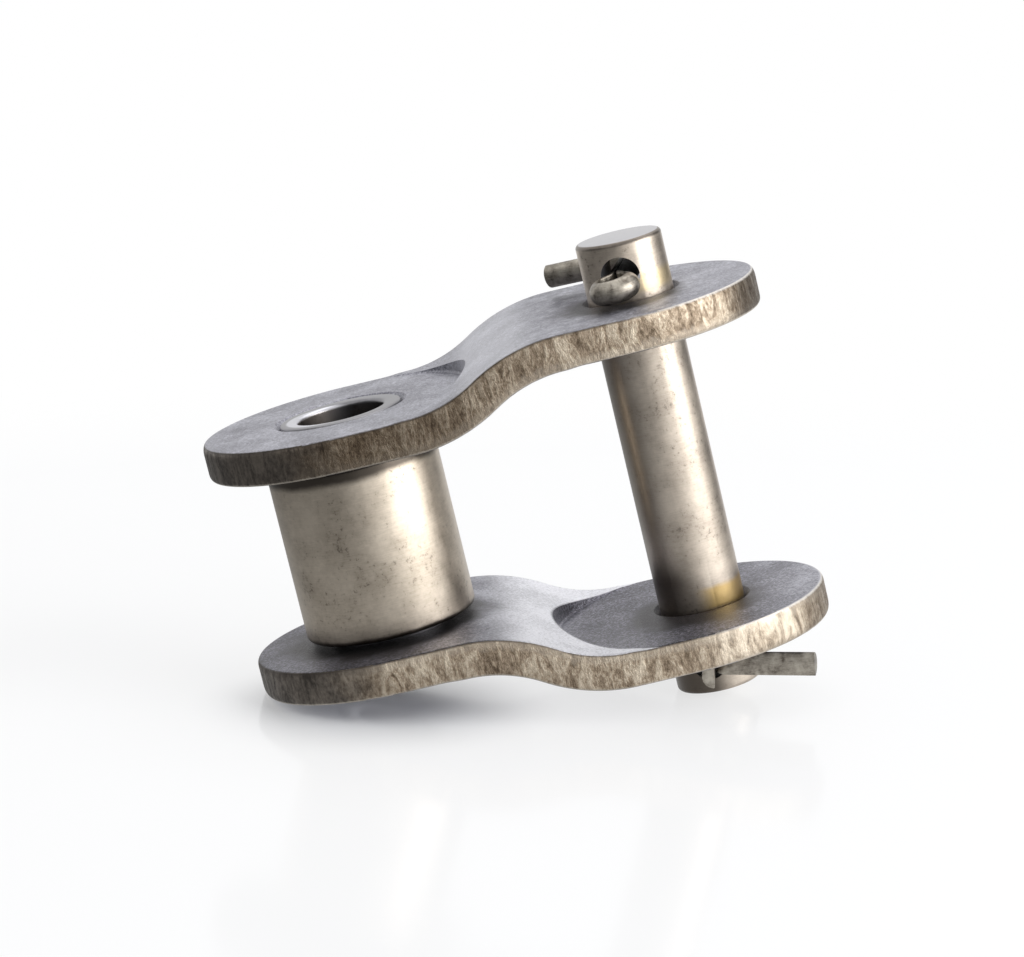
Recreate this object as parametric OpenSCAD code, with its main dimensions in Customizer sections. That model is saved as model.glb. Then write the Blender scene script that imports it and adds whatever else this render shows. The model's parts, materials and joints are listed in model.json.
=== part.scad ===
// Offset link of a roller chain: two cranked plates, a bush with its roller, a pin and two split pins.
// The link is drawn with the bush axis on Z and the pin towards +X, then tilted to rest on a surface.

/* [Chain] */
// Distance between the bush axis and the pin axis
pitch = 50.8; // [46:0.1:64]
// Width between the plates at the bush end
inside_width = 31.55; // [24:0.05:40]

/* [Plates] */
// Thickness of the plate
plate_t = 5.9; // [4:0.1:8]
// Half the height of the plate, also the radius of its round ends
plate_r = 23.3; // [19:0.1:27]
// Set-back of the pin end's round from the pin axis
end_setback = 2.8; // [0:0.1:5]
// Side clearance between the pin end and a neighbour's bush end
side_clearance = 1.75; // [0.4:0.05:3]
// Distance from the bush axis to the middle of the crank
crank_mid = 24.2; // [22:0.1:27]
// Bend radius at the middle of the plate's thickness
bend_r = 25; // [12:0.5:32]
// Straight stretch between the two bends
slope_run = 0.8; // [0:0.1:4]
// Depth to which the flat ends are coined
coin_depth = 0.2; // [0.1:0.05:0.6]
// Room around a neighbour's plate end in the coined relief
relief = 1.4; // [0.6:0.1:4]
// Chamfer at the mouths of the plate holes
hole_chamfer = 1; // [0.3:0.1:1.5]

/* [Bush and roller] */
// Outside diameter of the bush
bush_od = 20.4; // [18:0.1:23]
// Radial running clearance between the bush bore and a neighbour's pin
bore_clearance = 0.1; // [0.05:0.01:0.3]
// Chamfer at the mouths of the bush bore
bore_chamfer = 0.8; // [0.2:0.1:1.2]
// Chamfer on the outer rims of the bush
bush_chamfer = 0.5; // [0.2:0.1:1]
// Outside diameter of the roller
roller_d = 28.58; // [25:0.02:34]
// Radial running clearance between roller and bush
roller_clearance = 0.08; // [0.03:0.01:0.3]
// Gap between each end of the roller and the plate
roller_gap = 1.1; // [0.3:0.1:2]
// Chamfer on the rims of the roller
roller_chamfer = 0.7; // [0.2:0.1:1.2]

/* [Pin] */
// Diameter of the pin
pin_d = 14.27; // [12:0.01:16]
// Radial clearance of the pin in the plates
pin_clearance = 0.05; // [0.02:0.01:0.2]
// Length of the pin past the middle of its cotter holes
pin_tail = 5.6; // [4:0.1:9]
// Chamfer on the ends of the pin
pin_chamfer = 0.7; // [0.2:0.1:1.5]
// Turn of the pin about its own axis
pin_turn = -10; // [-45:1:45]
// Slide of the pin in the plates, towards the upper one
pin_slide = 0.7; // [0:0.1:1.5]

/* [Split pins] */
// Diameter of the closed split pin
wire_d = 4; // [3:0.1:4.6]
// Room around the split pin in its hole, on each side
cotter_play = 1.2; // [0.3:0.05:1.3]
// Gap between the lower split pin and its plate
leg_room = 0.8; // [0.6:0.1:4]
// Gap between the two legs
leg_gap = 0.2; // [0.1:0.05:0.5]
// Inside diameter of the eye
eye_d = 4.4; // [3:0.1:6]
// Inside radius of the tight bends at the eye and the legs
tight_r = 0.6; // [0.3:0.1:1.2]
// Angle by which the long leg is bent over
leg_bend = 74; // [40:1:85]
// Length of the long leg past its bend
long_leg = 14.5; // [6:0.5:20]
// Length of the short leg past the pin
short_leg = 10; // [4:0.5:16]
// Angle by which the short leg is spread
leg_spread = 3; // [1:1:12]

/* [Hidden] */
$fn = 96;
bend_steps = 16;
wire_steps = 8;
arc_step = 12;
eps = 1;
// Shares of the play in the hole that each split pin's turn, tilt and drop take up
upper_shares = [-0.38, 0.38, 0.4];
lower_shares = [0.75, 0, 0.15];
// Shares of the room beside each split pin that its roll takes up
upper_roll_share = 0.9;
lower_roll_share = 0.7;

// Heights above the middle of the link
offset_z = plate_t + side_clearance;
narrow_in = inside_width / 2;
narrow_out = narrow_in + plate_t - coin_depth;
wide_in = narrow_in + offset_z + coin_depth;
wide_out = narrow_in + offset_z + plate_t;
cotter_z = wide_out + leg_room + wire_d / 2 + pin_slide;
pin_half = cotter_z + pin_tail;

// Crank: angle of the slope and the ends of the two bends along X
slope_a = acos((2 * bend_r - offset_z) / norm([2 * bend_r, slope_run])) - atan2(slope_run, 2 * bend_r);
crank_len = 2 * bend_r * sin(slope_a) + slope_run * cos(slope_a);
crank_start = crank_mid - crank_len / 2;
slope_end = crank_start + bend_r * sin(slope_a) + slope_run * cos(slope_a);
slope_top = bend_r * (1 - cos(slope_a)) + slope_run * sin(slope_a);
end_x = pitch - end_setback;

// Split pin: hole, mouth of the hole and the turn from the legs into the eye
cotter_hole_d = wire_d + 2 * cotter_play;
mouth_y = sqrt(pow(pin_d / 2, 2) - pow(cotter_hole_d / 2, 2));
leg_start = mouth_y + tight_r;
turn_r = wire_d / 2 + tight_r;
eye_r = eye_d / 2;
eye_a = acos((leg_gap / 2 + turn_r) / (turn_r + eye_r));

// Roll of each split pin: the upper long leg sinks towards the plate, the lower one away from it
leg_reach = long_leg + turn_r + wire_d / 2;
upper_room = leg_room + 2 * pin_slide - upper_shares[2] * cotter_play;
lower_room = leg_room + lower_shares[2] * cotter_play;
upper_roll = -asin(upper_roll_share * upper_room / leg_reach);
lower_roll = asin(lower_roll_share * lower_room / (eye_r + wire_d / 2));

// Rest: the lower plate's round end and the pin's end rim touch the surface
foot_run = pitch - pin_d / 2 + pin_chamfer + plate_r;
rest_tilt = atan2(pin_half - pin_slide - narrow_out, foot_run);
rest_lift = plate_r * sin(rest_tilt) + narrow_out * cos(rest_tilt);
left_x = -plate_r * cos(rest_tilt) - narrow_out * sin(rest_tilt);
right_x = (end_x + plate_r) * cos(rest_tilt) + wide_out * sin(rest_tilt);

module at_rest() {
    translate([-(left_x + right_x) / 2, 0, rest_lift]) rotate([0, -rest_tilt, 0]) children();
}

// Line through the middle of the plate's thickness, as [x, z, slope] along the plate
function crank_line() = concat(
    [[-plate_r - eps, 0, 0]],
    [for (k = [0:bend_steps]) let (a = slope_a * k / bend_steps)
        [crank_start + bend_r * sin(a), bend_r * (1 - cos(a)), a]],
    [for (k = [0:bend_steps]) let (a = slope_a * (1 - k / bend_steps))
        [slope_end + bend_r * (sin(slope_a) - sin(a)), slope_top + bend_r * (cos(a) - cos(slope_a)), a]],
    [[pitch + plate_r + eps, offset_z, 0]]
);

function face_line(side) = [for (p = crank_line())
    [p[0] - side * plate_t / 2 * sin(p[2]), p[1] + side * plate_t / 2 * cos(p[2])]];

function reversed(list) = [for (k = [len(list) - 1:-1:0]) list[k]];

module crank_profile() {
    polygon(concat(face_line(1), reversed(face_line(-1))));
}

module plate_outline() {
    circle(r = plate_r);
    translate([end_x, 0]) circle(r = plate_r);
    translate([0, -plate_r]) square([end_x, 2 * plate_r]);
}

module chamfered_hole(d, low, high, low_chamfer, high_chamfer) {
    translate([0, 0, low - eps]) cylinder(d = d, h = high - low + 2 * eps);
    if (low_chamfer > 0)
        translate([0, 0, low - eps])
            cylinder(r1 = d / 2 + low_chamfer + eps, r2 = d / 2, h = low_chamfer + eps);
    if (high_chamfer > 0)
        translate([0, 0, high - high_chamfer])
            cylinder(r1 = d / 2, r2 = d / 2 + high_chamfer + eps, h = high_chamfer + eps);
}

// Cranked plate of the upper side, with coined reliefs where the neighbours' ends swing
module plate() {
    difference() {
        intersection() {
            translate([0, 0, narrow_in - eps])
                linear_extrude(wide_out - narrow_in + 2 * eps) plate_outline();
            translate([0, plate_r + eps, narrow_in + plate_t / 2])
                rotate([90, 0, 0]) linear_extrude(2 * (plate_r + eps)) crank_profile();
        }
        translate([-end_setback, 0, narrow_out])
            cylinder(r = plate_r + relief, h = wide_out - narrow_out + eps);
        translate([pitch, 0, narrow_in - eps])
            cylinder(r = plate_r + relief, h = wide_in - narrow_in + eps);
        chamfered_hole(bush_od, narrow_in, narrow_out, 0, hole_chamfer);
        translate([pitch, 0, 0])
            chamfered_hole(pin_d + 2 * pin_clearance, wide_in, wide_out, hole_chamfer, hole_chamfer);
    }
}

module upper_plate() {
    color("slategray") at_rest() plate();
}

module lower_plate() {
    color("slategray") at_rest() mirror([0, 0, 1]) plate();
}

// Turned sleeve of inner radius r and outer radius R between -h and h, all rims chamfered
module sleeve(r, R, h, inner_chamfer, outer_chamfer) {
    rotate_extrude()
        polygon([
            [r, -h + inner_chamfer], [r + inner_chamfer, -h],
            [R - outer_chamfer, -h], [R, -h + outer_chamfer],
            [R, h - outer_chamfer], [R - outer_chamfer, h],
            [r + inner_chamfer, h], [r, h - inner_chamfer]
        ]);
}

module bush() {
    color("gainsboro") at_rest()
        sleeve(pin_d / 2 + bore_clearance, bush_od / 2, narrow_out, bore_chamfer, bush_chamfer);
}

module roller() {
    color("tan") at_rest()
        sleeve(bush_od / 2 + roller_clearance, roller_d / 2, narrow_in - roller_gap,
            roller_chamfer, roller_chamfer);
}

module at_cotter(side) {
    translate([pitch, 0, pin_slide + side * cotter_z]) rotate([0, 0, pin_turn]) children();
}

module pin() {
    color("tan") at_rest() difference() {
        translate([pitch, 0, pin_slide]) rotate_extrude()
            polygon([
                [0, -pin_half], [pin_d / 2 - pin_chamfer, -pin_half], [pin_d / 2, -pin_half + pin_chamfer],
                [pin_d / 2, pin_half - pin_chamfer], [pin_d / 2 - pin_chamfer, pin_half], [0, pin_half]
            ]);
        for (side = [-1, 1])
            at_cotter(side) rotate([90, 0, 0])
                cylinder(d = cotter_hole_d, h = pin_d + 2 * eps, center = true);
    }
}

// Wire path in a plane, as [point, heading], made of moves [length] or [radius, angle], left turns positive
function along(p, h, s) = p + s * [cos(h), sin(h)];
function around(p, h, r, a) = p + sign(a) * r * [sin(h + a) - sin(h), cos(h) - cos(h + a)];
function after(p, h, m) = len(m) == 1 ? [along(p, h, m[0]), h] : [around(p, h, m[0], m[1]), h + m[1]];
function within(p, h, m) = len(m) == 1 ? [[p, h]] :
    let (n = ceil(abs(m[1]) / arc_step))
        [for (k = [0:n - 1]) [around(p, h, m[0], m[1] * k / n), h + m[1] * k / n]];
function path(p, h, moves, k = 0) = k == len(moves) ? [[p, h]] :
    let (e = after(p, h, moves[k])) concat(within(p, h, moves[k]), path(e[0], e[1], moves, k + 1));

// Half-round wire swept along a path, with its flat face on the left of the path
module half_round(stations) {
    rings = len(stations);
    sides = wire_steps + 1;
    points = [for (s = stations) for (k = [0:wire_steps])
        let (a = 180 * k / wire_steps, out = wire_d / 2 * sin(a))
        [s[0][0] + out * sin(s[1]), s[0][1] - out * cos(s[1]), wire_d / 2 * cos(a)]];
    skin = [for (i = [0:rings - 2]) for (k = [0:sides - 1]) let (n = (k + 1) % sides)
        [i * sides + k, i * sides + n, (i + 1) * sides + n, (i + 1) * sides + k]];
    first_end = [for (k = [sides - 1:-1:0]) k];
    last_end = [for (k = [0:sides - 1]) (rings - 1) * sides + k];
    polyhedron(points, concat([first_end], skin, [last_end]));
}

// Split pin with its eye towards -Y and its long leg bent towards +X
module cotter() {
    through = leg_start + mouth_y;
    tip_x = -leg_gap / 2 - short_leg * sin(leg_spread) - turn_r * (1 - cos(leg_spread));
    tip_y = leg_start + short_leg * cos(leg_spread) + turn_r * sin(leg_spread);
    half_round(path([tip_x, tip_y], leg_spread - 90, [
        [short_leg], [turn_r, -leg_spread], [through], [turn_r, -eye_a], [eye_r, 180 + 2 * eye_a],
        [turn_r, -eye_a], [through], [turn_r, -leg_bend], [long_leg]
    ]));
}

function play_angle(share) = asin(share * cotter_play / mouth_y);

module in_hole(shares, roll) {
    translate([0, 0, -shares[2] * cotter_play])
        rotate([play_angle(shares[1]), 0, play_angle(shares[0])]) rotate([0, roll, 0]) children();
}

module upper_cotter() {
    color("gray") at_rest() at_cotter(1) in_hole(upper_shares, upper_roll) mirror([1, 0, 0]) cotter();
}

module lower_cotter() {
    color("gray") at_rest() at_cotter(-1) in_hole(lower_shares, lower_roll) mirror([0, 1, 0]) cotter();
}

upper_plate();
lower_plate();
bush();
roller();
pin();
upper_cotter();
lower_cotter();
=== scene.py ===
import json
import math

import bpy
import numpy as np
from mathutils import Matrix, Vector


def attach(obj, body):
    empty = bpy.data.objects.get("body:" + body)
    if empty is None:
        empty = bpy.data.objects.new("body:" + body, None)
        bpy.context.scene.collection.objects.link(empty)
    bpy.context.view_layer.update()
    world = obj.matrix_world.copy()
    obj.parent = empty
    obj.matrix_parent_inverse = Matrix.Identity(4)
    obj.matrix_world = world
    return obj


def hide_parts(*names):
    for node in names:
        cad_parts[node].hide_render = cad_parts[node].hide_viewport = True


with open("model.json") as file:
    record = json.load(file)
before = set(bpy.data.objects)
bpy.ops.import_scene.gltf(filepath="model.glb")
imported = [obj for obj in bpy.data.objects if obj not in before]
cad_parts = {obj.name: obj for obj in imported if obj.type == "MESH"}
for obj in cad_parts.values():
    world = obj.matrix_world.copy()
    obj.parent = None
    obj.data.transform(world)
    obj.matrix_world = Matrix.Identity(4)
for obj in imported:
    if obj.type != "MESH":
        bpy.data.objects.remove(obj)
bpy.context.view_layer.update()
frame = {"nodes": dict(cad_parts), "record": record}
mm = 0.001
weld, fineWeld = 1e-6, 1e-7  # metres, to pick and merge points
smoothAngle = math.radians(35)

# camera at the photograph's viewpoint
viewpoint = {
    "lens": 127.16,
    "sensor": 36.0,
    "place": (-0.016119, -0.584476, 0.15439),
    "turn": (78.5479, -0.2143, -1.4405),
}
bpy.ops.object.select_all(action="DESELECT")
bpy.ops.object.camera_add(
    location=viewpoint["place"],
    rotation=[math.radians(a) for a in viewpoint["turn"]],
)
camera = bpy.context.active_object
camera.name = "viewCamera"
camera.data.lens = viewpoint["lens"]
camera.data.sensor_width = viewpoint["sensor"]
camera.data.clip_start = 0.01
bpy.context.scene.camera = camera
bpy.context.scene.view_settings.view_transform = "Standard"
print("camera placed")

# the link's own frame: bush axis on Z, pin towards +X, middle plane at zero
mounts = {m["name"]: m for m in frame["record"]["mounts"]}
bushPlace = Vector(mounts["bush_bore"]["pos_m"])
bushAxis = Vector(mounts["bush_bore"]["axis"])
tilt = math.atan2(-bushAxis.x, bushAxis.z)
linkPlace = Matrix.Translation(bushPlace) @ Matrix.Rotation(-tilt, 4, "Y")
linkInverse = linkPlace.inverted()
pitch = (Vector(mounts["pin_span"]["pos_m"]) - bushPlace).length


def linkBox(node):
    points = np.array([linkInverse @ v.co for v in frame["nodes"][node].data.vertices])
    return points.min(0), points.max(0)


def deselectAll():
    if bpy.context.object and bpy.context.object.mode != "OBJECT":
        bpy.ops.object.mode_set(mode="OBJECT")
    bpy.ops.object.select_all(action="DESELECT")


def makeActive(piece):
    deselectAll()
    piece.select_set(True)
    bpy.context.view_layer.objects.active = piece


def editMode(choose="VERT"):
    bpy.ops.object.mode_set(mode="EDIT")
    bpy.ops.mesh.select_mode(type=choose)


def objectMode():
    bpy.ops.object.mode_set(mode="OBJECT")


def selectWhere(piece, rule):
    # vertices are selected in code by their place
    objectMode()
    mesh = piece.data
    for polygon in mesh.polygons:
        polygon.select = False
    for edge in mesh.edges:
        edge.select = False
    for vertex in mesh.vertices:
        vertex.select = bool(rule(vertex.co))
    editMode("VERT")


def applyModifier(piece, kind, **settings):
    makeActive(piece)
    modifier = piece.modifiers.new(kind.lower(), kind)
    for key, value in settings.items():
        setattr(modifier, key, value)
    bpy.ops.object.modifier_apply(modifier=modifier.name)


def cutAway(piece, cutter):
    applyModifier(piece, "BOOLEAN", operation="DIFFERENCE", solver="EXACT", object=cutter)
    bpy.data.objects.remove(cutter)


def closeMesh(piece, threshold=fineWeld):
    makeActive(piece)
    editMode()
    bpy.ops.mesh.select_all(action="SELECT")
    bpy.ops.mesh.remove_doubles(threshold=threshold)
    bpy.ops.mesh.normals_make_consistent(inside=False)
    objectMode()


def smoothFaces(piece):
    makeActive(piece)
    bpy.ops.object.shade_smooth_by_angle(angle=smoothAngle)


def seat(piece, place):
    # the place goes into the mesh, and the object stays at the origin
    makeActive(piece)
    piece.matrix_world = place @ piece.matrix_world
    bpy.ops.object.transform_apply(location=True, rotation=True, scale=True)


def dress(piece, body, node):
    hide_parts(node)
    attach(piece, body)


# cranked plates: flat outline with rings, thickened, bent along the crank, then cut
plateForm = {
    "insideWidth": 31.55 * mm,
    "thickness": 5.9 * mm,
    "halfHeight": 23.3 * mm,
    "setback": 2.8 * mm,
    "offset": 7.65 * mm,
    "crankMid": 24.2 * mm,
    "bendRadius": 25 * mm,
    "bendSteps": 40,
    "slopeRun": 0.8 * mm,
    "coin": 0.2 * mm,
    "coinEase": (4 * mm, 3 * mm),
    "relief": 1.4 * mm,
    "reliefFillet": 0.5 * mm,
    "reliefSteps": 256,
    "filletSteps": 4,
    "holeChamfer": 1.0 * mm,
    "holeFlare": 1 * mm,
    "holeSteps": 160,
    "pinRoom": 0.05 * mm,
    "sideRim": (0.45 * mm, 0.45 * mm),
    "outerEndRim": (0.6 * mm, 1.5 * mm),
    "innerEndRim": (0.45 * mm, 0.9 * mm),
    "rimBlend": (2 * mm, 8 * mm),
    "edgeBand": 0.4 * mm,
    "edgeSlope": 0.75,
    "roundSteps": 112,
    "straightSteps": 72,
    "rings": (
        0.015, 0.06, 0.16, 0.3, 0.45, 0.7, 1.0, 1.3, 2.0, 3.4, 5.4, 7.8, 10.4, 13.2, 16, 18.8, 21.4,
    ),
}
pf = plateForm
narrowIn = pf["insideWidth"] / 2
narrowOut = narrowIn + pf["thickness"] - pf["coin"]
wideIn = narrowIn + pf["offset"] + pf["coin"]
wideOut = narrowIn + pf["offset"] + pf["thickness"]
endX = pitch - pf["setback"]
bushRadius = linkBox("bush")[1][1]
pinRadius = linkBox("pin")[1][1]


def crankLine(side):
    # height of a plate face along the link, as points that bend and straighten
    bend, run, rise = pf["bendRadius"], pf["slopeRun"], pf["offset"]
    slope = math.acos((2 * bend - rise) / math.hypot(2 * bend, run)) - math.atan2(run, 2 * bend)
    length = 2 * bend * math.sin(slope) + run * math.cos(slope)
    start = pf["crankMid"] - length / 2
    slopeEnd = start + bend * math.sin(slope) + run * math.cos(slope)
    slopeTop = bend * (1 - math.cos(slope)) + run * math.sin(slope)
    points = [(-1.0, 0.0, 0.0)]
    for a in np.linspace(0, slope, pf["bendSteps"]):
        points.append((start + bend * math.sin(a), bend * (1 - math.cos(a)), a))
    for a in np.linspace(slope, 0, pf["bendSteps"]):
        x = slopeEnd + bend * (math.sin(slope) - math.sin(a))
        points.append((x, slopeTop + bend * (math.cos(a) - math.cos(slope)), a))
    points.append((1.0, rise, 0.0))
    half = pf["thickness"] / 2
    xs = [p[0] - side * half * math.sin(p[2]) for p in points]
    zs = [narrowIn + half + p[1] + side * half * math.cos(p[2]) for p in points]
    return np.array(xs), np.array(zs), start, start + length


outerLine, innerLine = crankLine(1), crankLine(-1)
crankStart, crankEnd = outerLine[2], outerLine[3]


def easeStep(value, low, high):
    t = min(1.0, max(0.0, (value - low) / (high - low)))
    return t * t * (3 - 2 * t)


def outerFace(x):
    flat = 1 - easeStep(x, crankStart - pf["coinEase"][0], crankStart)
    return float(np.interp(x, outerLine[0], outerLine[1])) - pf["coin"] * flat


def innerFace(x):
    flat = easeStep(x, crankEnd, crankEnd + pf["coinEase"][1])
    return float(np.interp(x, innerLine[0], innerLine[1])) + pf["coin"] * flat


def outlineInset(x, y):
    # distance in from the plate's outline
    spine = min(max(x, 0.0), endX)
    return pf["halfHeight"] - math.hypot(x - spine, y)


def rimDrop(x, inset, endRim):
    # a small round along the sides and a taller one, as left by the press, at the round ends
    start, full = pf["rimBlend"]
    blend = easeStep(x, start, -full) + easeStep(x, endX - start, endX + full)
    wide, tall = (a + (b - a) * blend for a, b in zip(pf["sideRim"], endRim))
    if inset >= wide:
        return 0.0
    return tall * (1 - math.sqrt(max(0.0, 1 - (1 - max(inset, 0.0) / wide) ** 2)))


def reliefCutter(x, low, high, filletLow):
    radius = pf["halfHeight"] + pf["relief"]
    deselectAll()
    bpy.ops.mesh.primitive_cylinder_add(
        vertices=pf["reliefSteps"], radius=radius, depth=high - low,
        location=(x, 0, (low + high) / 2),
    )
    cutter = bpy.context.active_object
    bpy.ops.object.transform_apply(location=True)
    end = low if filletLow else high
    selectWhere(cutter, lambda co: abs(co.z - end) < weld)
    bpy.ops.mesh.bevel(
        offset=pf["reliefFillet"], segments=pf["filletSteps"], affect="EDGES", profile=0.5
    )
    objectMode()
    return cutter


def holeCutter(x, radius, low, high, lowChamfer, highChamfer):
    # a drill with a flared mouth at either end
    deselectAll()
    bpy.ops.mesh.primitive_cylinder_add(
        vertices=pf["holeSteps"], radius=radius, depth=high - low,
        location=(x, 0, (low + high) / 2),
    )
    cutter = bpy.context.active_object
    bpy.ops.object.transform_apply(location=True)
    for end, way, chamfer in ((low, -1, lowChamfer), (high, 1, highChamfer)):
        if not chamfer:
            continue
        flare = chamfer + pf["holeFlare"]
        selectWhere(cutter, lambda co: abs(co.z - end) < weld)
        bpy.ops.transform.translate(value=(0, 0, -way * chamfer))
        bpy.ops.mesh.extrude_region_move(TRANSFORM_OT_translate={"value": (0, 0, way * flare)})
        grow = (radius + flare) / radius
        bpy.ops.transform.resize(value=(grow, grow, 1), center_override=(x, 0, end))
        objectMode()
    closeMesh(cutter)
    return cutter


def buildPlate(name):
    deselectAll()
    bpy.ops.mesh.primitive_circle_add(
        vertices=2 * pf["roundSteps"], radius=pf["halfHeight"], fill_type="NGON"
    )
    plate = bpy.context.active_object
    plate.name = name
    # the far half moves out to the pin end, and the two long sides get their steps
    selectWhere(plate, lambda co: co.x > weld)
    bpy.ops.transform.translate(value=(endX, 0, 0))
    objectMode()
    for vertex in plate.data.vertices:
        vertex.select = False
    longSide = 0.8 * endX
    for edge in plate.data.edges:
        a, b = (plate.data.vertices[i].co for i in edge.vertices)
        edge.select = abs(a.x - b.x) > longSide
    editMode("EDGE")
    bpy.ops.mesh.subdivide(number_cuts=pf["straightSteps"] - 1)
    bpy.ops.mesh.select_mode(type="FACE")
    bpy.ops.mesh.select_all(action="SELECT")
    # rings are first set close together, then spread to their insets, the last onto the spine
    rings = [0.0] + [ring * mm for ring in pf["rings"]] + [pf["halfHeight"]]
    gap = 0.05 * mm
    for ring in rings[1:]:
        bpy.ops.mesh.inset(thickness=gap, use_even_offset=True)
    bpy.ops.mesh.delete(type="ONLY_FACE")
    objectMode()
    for vertex in plate.data.vertices:
        spine = Vector((min(max(vertex.co.x, 0.0), endX), 0, 0))
        out = vertex.co - spine
        ring = rings[round((pf["halfHeight"] - out.length) / gap)]
        vertex.co = spine + out.normalized() * (pf["halfHeight"] - ring)
    closeMesh(plate, weld)
    applyModifier(plate, "SOLIDIFY", thickness=pf["thickness"], offset=1.0)
    # both faces take the crank's height, and their rims roll over
    for vertex in plate.data.vertices:
        x, y, z = vertex.co
        inset = outlineInset(x, y)
        if z > pf["thickness"] / 2:
            vertex.co.z = outerFace(x) - rimDrop(x, inset, pf["outerEndRim"])
        else:
            vertex.co.z = innerFace(x) + rimDrop(x, inset, pf["innerEndRim"])
    closeMesh(plate)
    # the cutters stop just short of the relief's floor and reach past the faces
    skim, spare = 0.01 * mm, 2 * mm
    cutAway(plate, reliefCutter(-pf["setback"], narrowOut + skim, wideOut + spare, True))
    cutAway(plate, reliefCutter(pitch, narrowIn - spare, wideIn - skim, False))
    chamfer = pf["holeChamfer"]
    cutAway(plate, holeCutter(0, bushRadius, narrowIn - spare / 2, narrowOut, 0, chamfer))
    cutAway(plate, holeCutter(pitch, pinRadius + pf["pinRoom"], wideIn, wideOut, chamfer, chamfer))
    closeMesh(plate, weld)
    return plate


def markPlate(plate, materials):
    # height through the thickness and distance in from the outline, for the finishes
    mesh = plate.data
    wall = mesh.attributes.new("wallHeight", "FLOAT", "POINT")
    inset = mesh.attributes.new("rimInset", "FLOAT", "POINT")
    for i, vertex in enumerate(mesh.vertices):
        x, y, z = vertex.co
        low, high = innerFace(x), outerFace(x)
        wall.data[i].value = (z - low) / (high - low)
        inset.data[i].value = outlineInset(x, y) / mm
    for material in materials:
        mesh.materials.append(material)
    for polygon in mesh.polygons:
        x, y, z = polygon.center
        sideways = abs(polygon.normal.z) < pf["edgeSlope"]
        polygon.material_index = 1 if sideways and outlineInset(x, y) < pf["edgeBand"] else 0


# sleeves and pin, turned on a lathe
turnedForm = {
    "steps": 144,
    "roundSteps": 5,
    "drillSteps": 64,
    "rollerRound": 0.9 * mm,
    "rollerRoom": 0.08 * mm,
    "boreRound": 0.7 * mm,
    "bushRound": 0.4 * mm,
    "pinRound": 0.7 * mm,
    "pinSkim": 0.02 * mm,
}
tf = turnedForm


def turnSleeve(name, inner, outer, half, innerRound, outerRound):
    # a section beside the axis, its corners rounded, spun once round
    deselectAll()
    bpy.ops.mesh.primitive_plane_add(size=1, rotation=(math.pi / 2, 0, 0))
    sleeve = bpy.context.active_object
    sleeve.name = name
    bpy.ops.object.transform_apply(rotation=True)
    for vertex in sleeve.data.vertices:
        vertex.co.x = outer if vertex.co.x > 0 else inner
        vertex.co.z = half if vertex.co.z > 0 else -half
    for radius, side in ((innerRound, inner), (outerRound, outer)):
        selectWhere(sleeve, lambda co: abs(co.x - side) < fineWeld)
        bpy.ops.mesh.bevel(offset=radius, segments=tf["roundSteps"], affect="VERTICES", profile=0.5)
        objectMode()
    editMode("FACE")
    bpy.ops.mesh.select_all(action="SELECT")
    bpy.ops.mesh.delete(type="ONLY_FACE")
    bpy.ops.mesh.select_mode(type="EDGE")
    bpy.ops.mesh.select_all(action="SELECT")
    bpy.ops.mesh.spin(steps=tf["steps"], angle=2 * math.pi, center=(0, 0, 0), axis=(0, 0, 1))
    objectMode()
    closeMesh(sleeve, weld)
    return sleeve


def turnPin(name, half, holeRadius, holeHeights, turn):
    deselectAll()
    bpy.ops.mesh.primitive_cylinder_add(vertices=tf["steps"], radius=pinRadius, depth=2 * half)
    pin = bpy.context.active_object
    pin.name = name
    for end in (-half, half):
        selectWhere(pin, lambda co: abs(co.z - end) < weld)
        bpy.ops.mesh.bevel(
            offset=tf["pinRound"], segments=tf["roundSteps"], affect="EDGES", profile=0.5
        )
        objectMode()
    for height in holeHeights:
        deselectAll()
        bpy.ops.mesh.primitive_cylinder_add(
            vertices=tf["drillSteps"], radius=holeRadius, depth=4 * pinRadius,
            location=(0, 0, height), rotation=(math.pi / 2, 0, turn),
        )
        drill = bpy.context.active_object
        bpy.ops.object.transform_apply(location=True, rotation=True)
        cutAway(pin, drill)
    closeMesh(pin, weld)
    return pin


# split pin: half-round wire led along straights and bends
cotterForm = {
    "wire": 4.0 * mm,
    "wireSteps": 48,
    "corner": 0.25 * mm,
    "cornerSteps": 3,
    "holeRoom": 1.2 * mm,
    "legRoom": 0.8 * mm,
    "upperShares": (-0.38, 0.38, 0.4, 0.9),
    "lowerShares": (0.75, 0.0, 0.15, 0.7),
    "legGap": 0.2 * mm,
    "eye": 4.4 * mm,
    "tight": 0.6 * mm,
    "legBend": 74,
    "longLeg": 14.5 * mm,
    "shortLeg": 10 * mm,
    "legSpread": 3,
    "pinTurn": -10,
    "stepAngle": 6,
}
cf = cotterForm
pinLow, pinHigh = linkBox("pin")
pinHalf = (pinHigh[2] - pinLow[2]) / 2
pinSlide = (pinHigh[2] + pinLow[2]) / 2
cotterHeight = wideOut + cf["legRoom"] + cf["wire"] / 2 + pinSlide
cotterHole = cf["wire"] / 2 + cf["holeRoom"]
cotterMouth = math.sqrt(pinRadius ** 2 - cotterHole ** 2)


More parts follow.
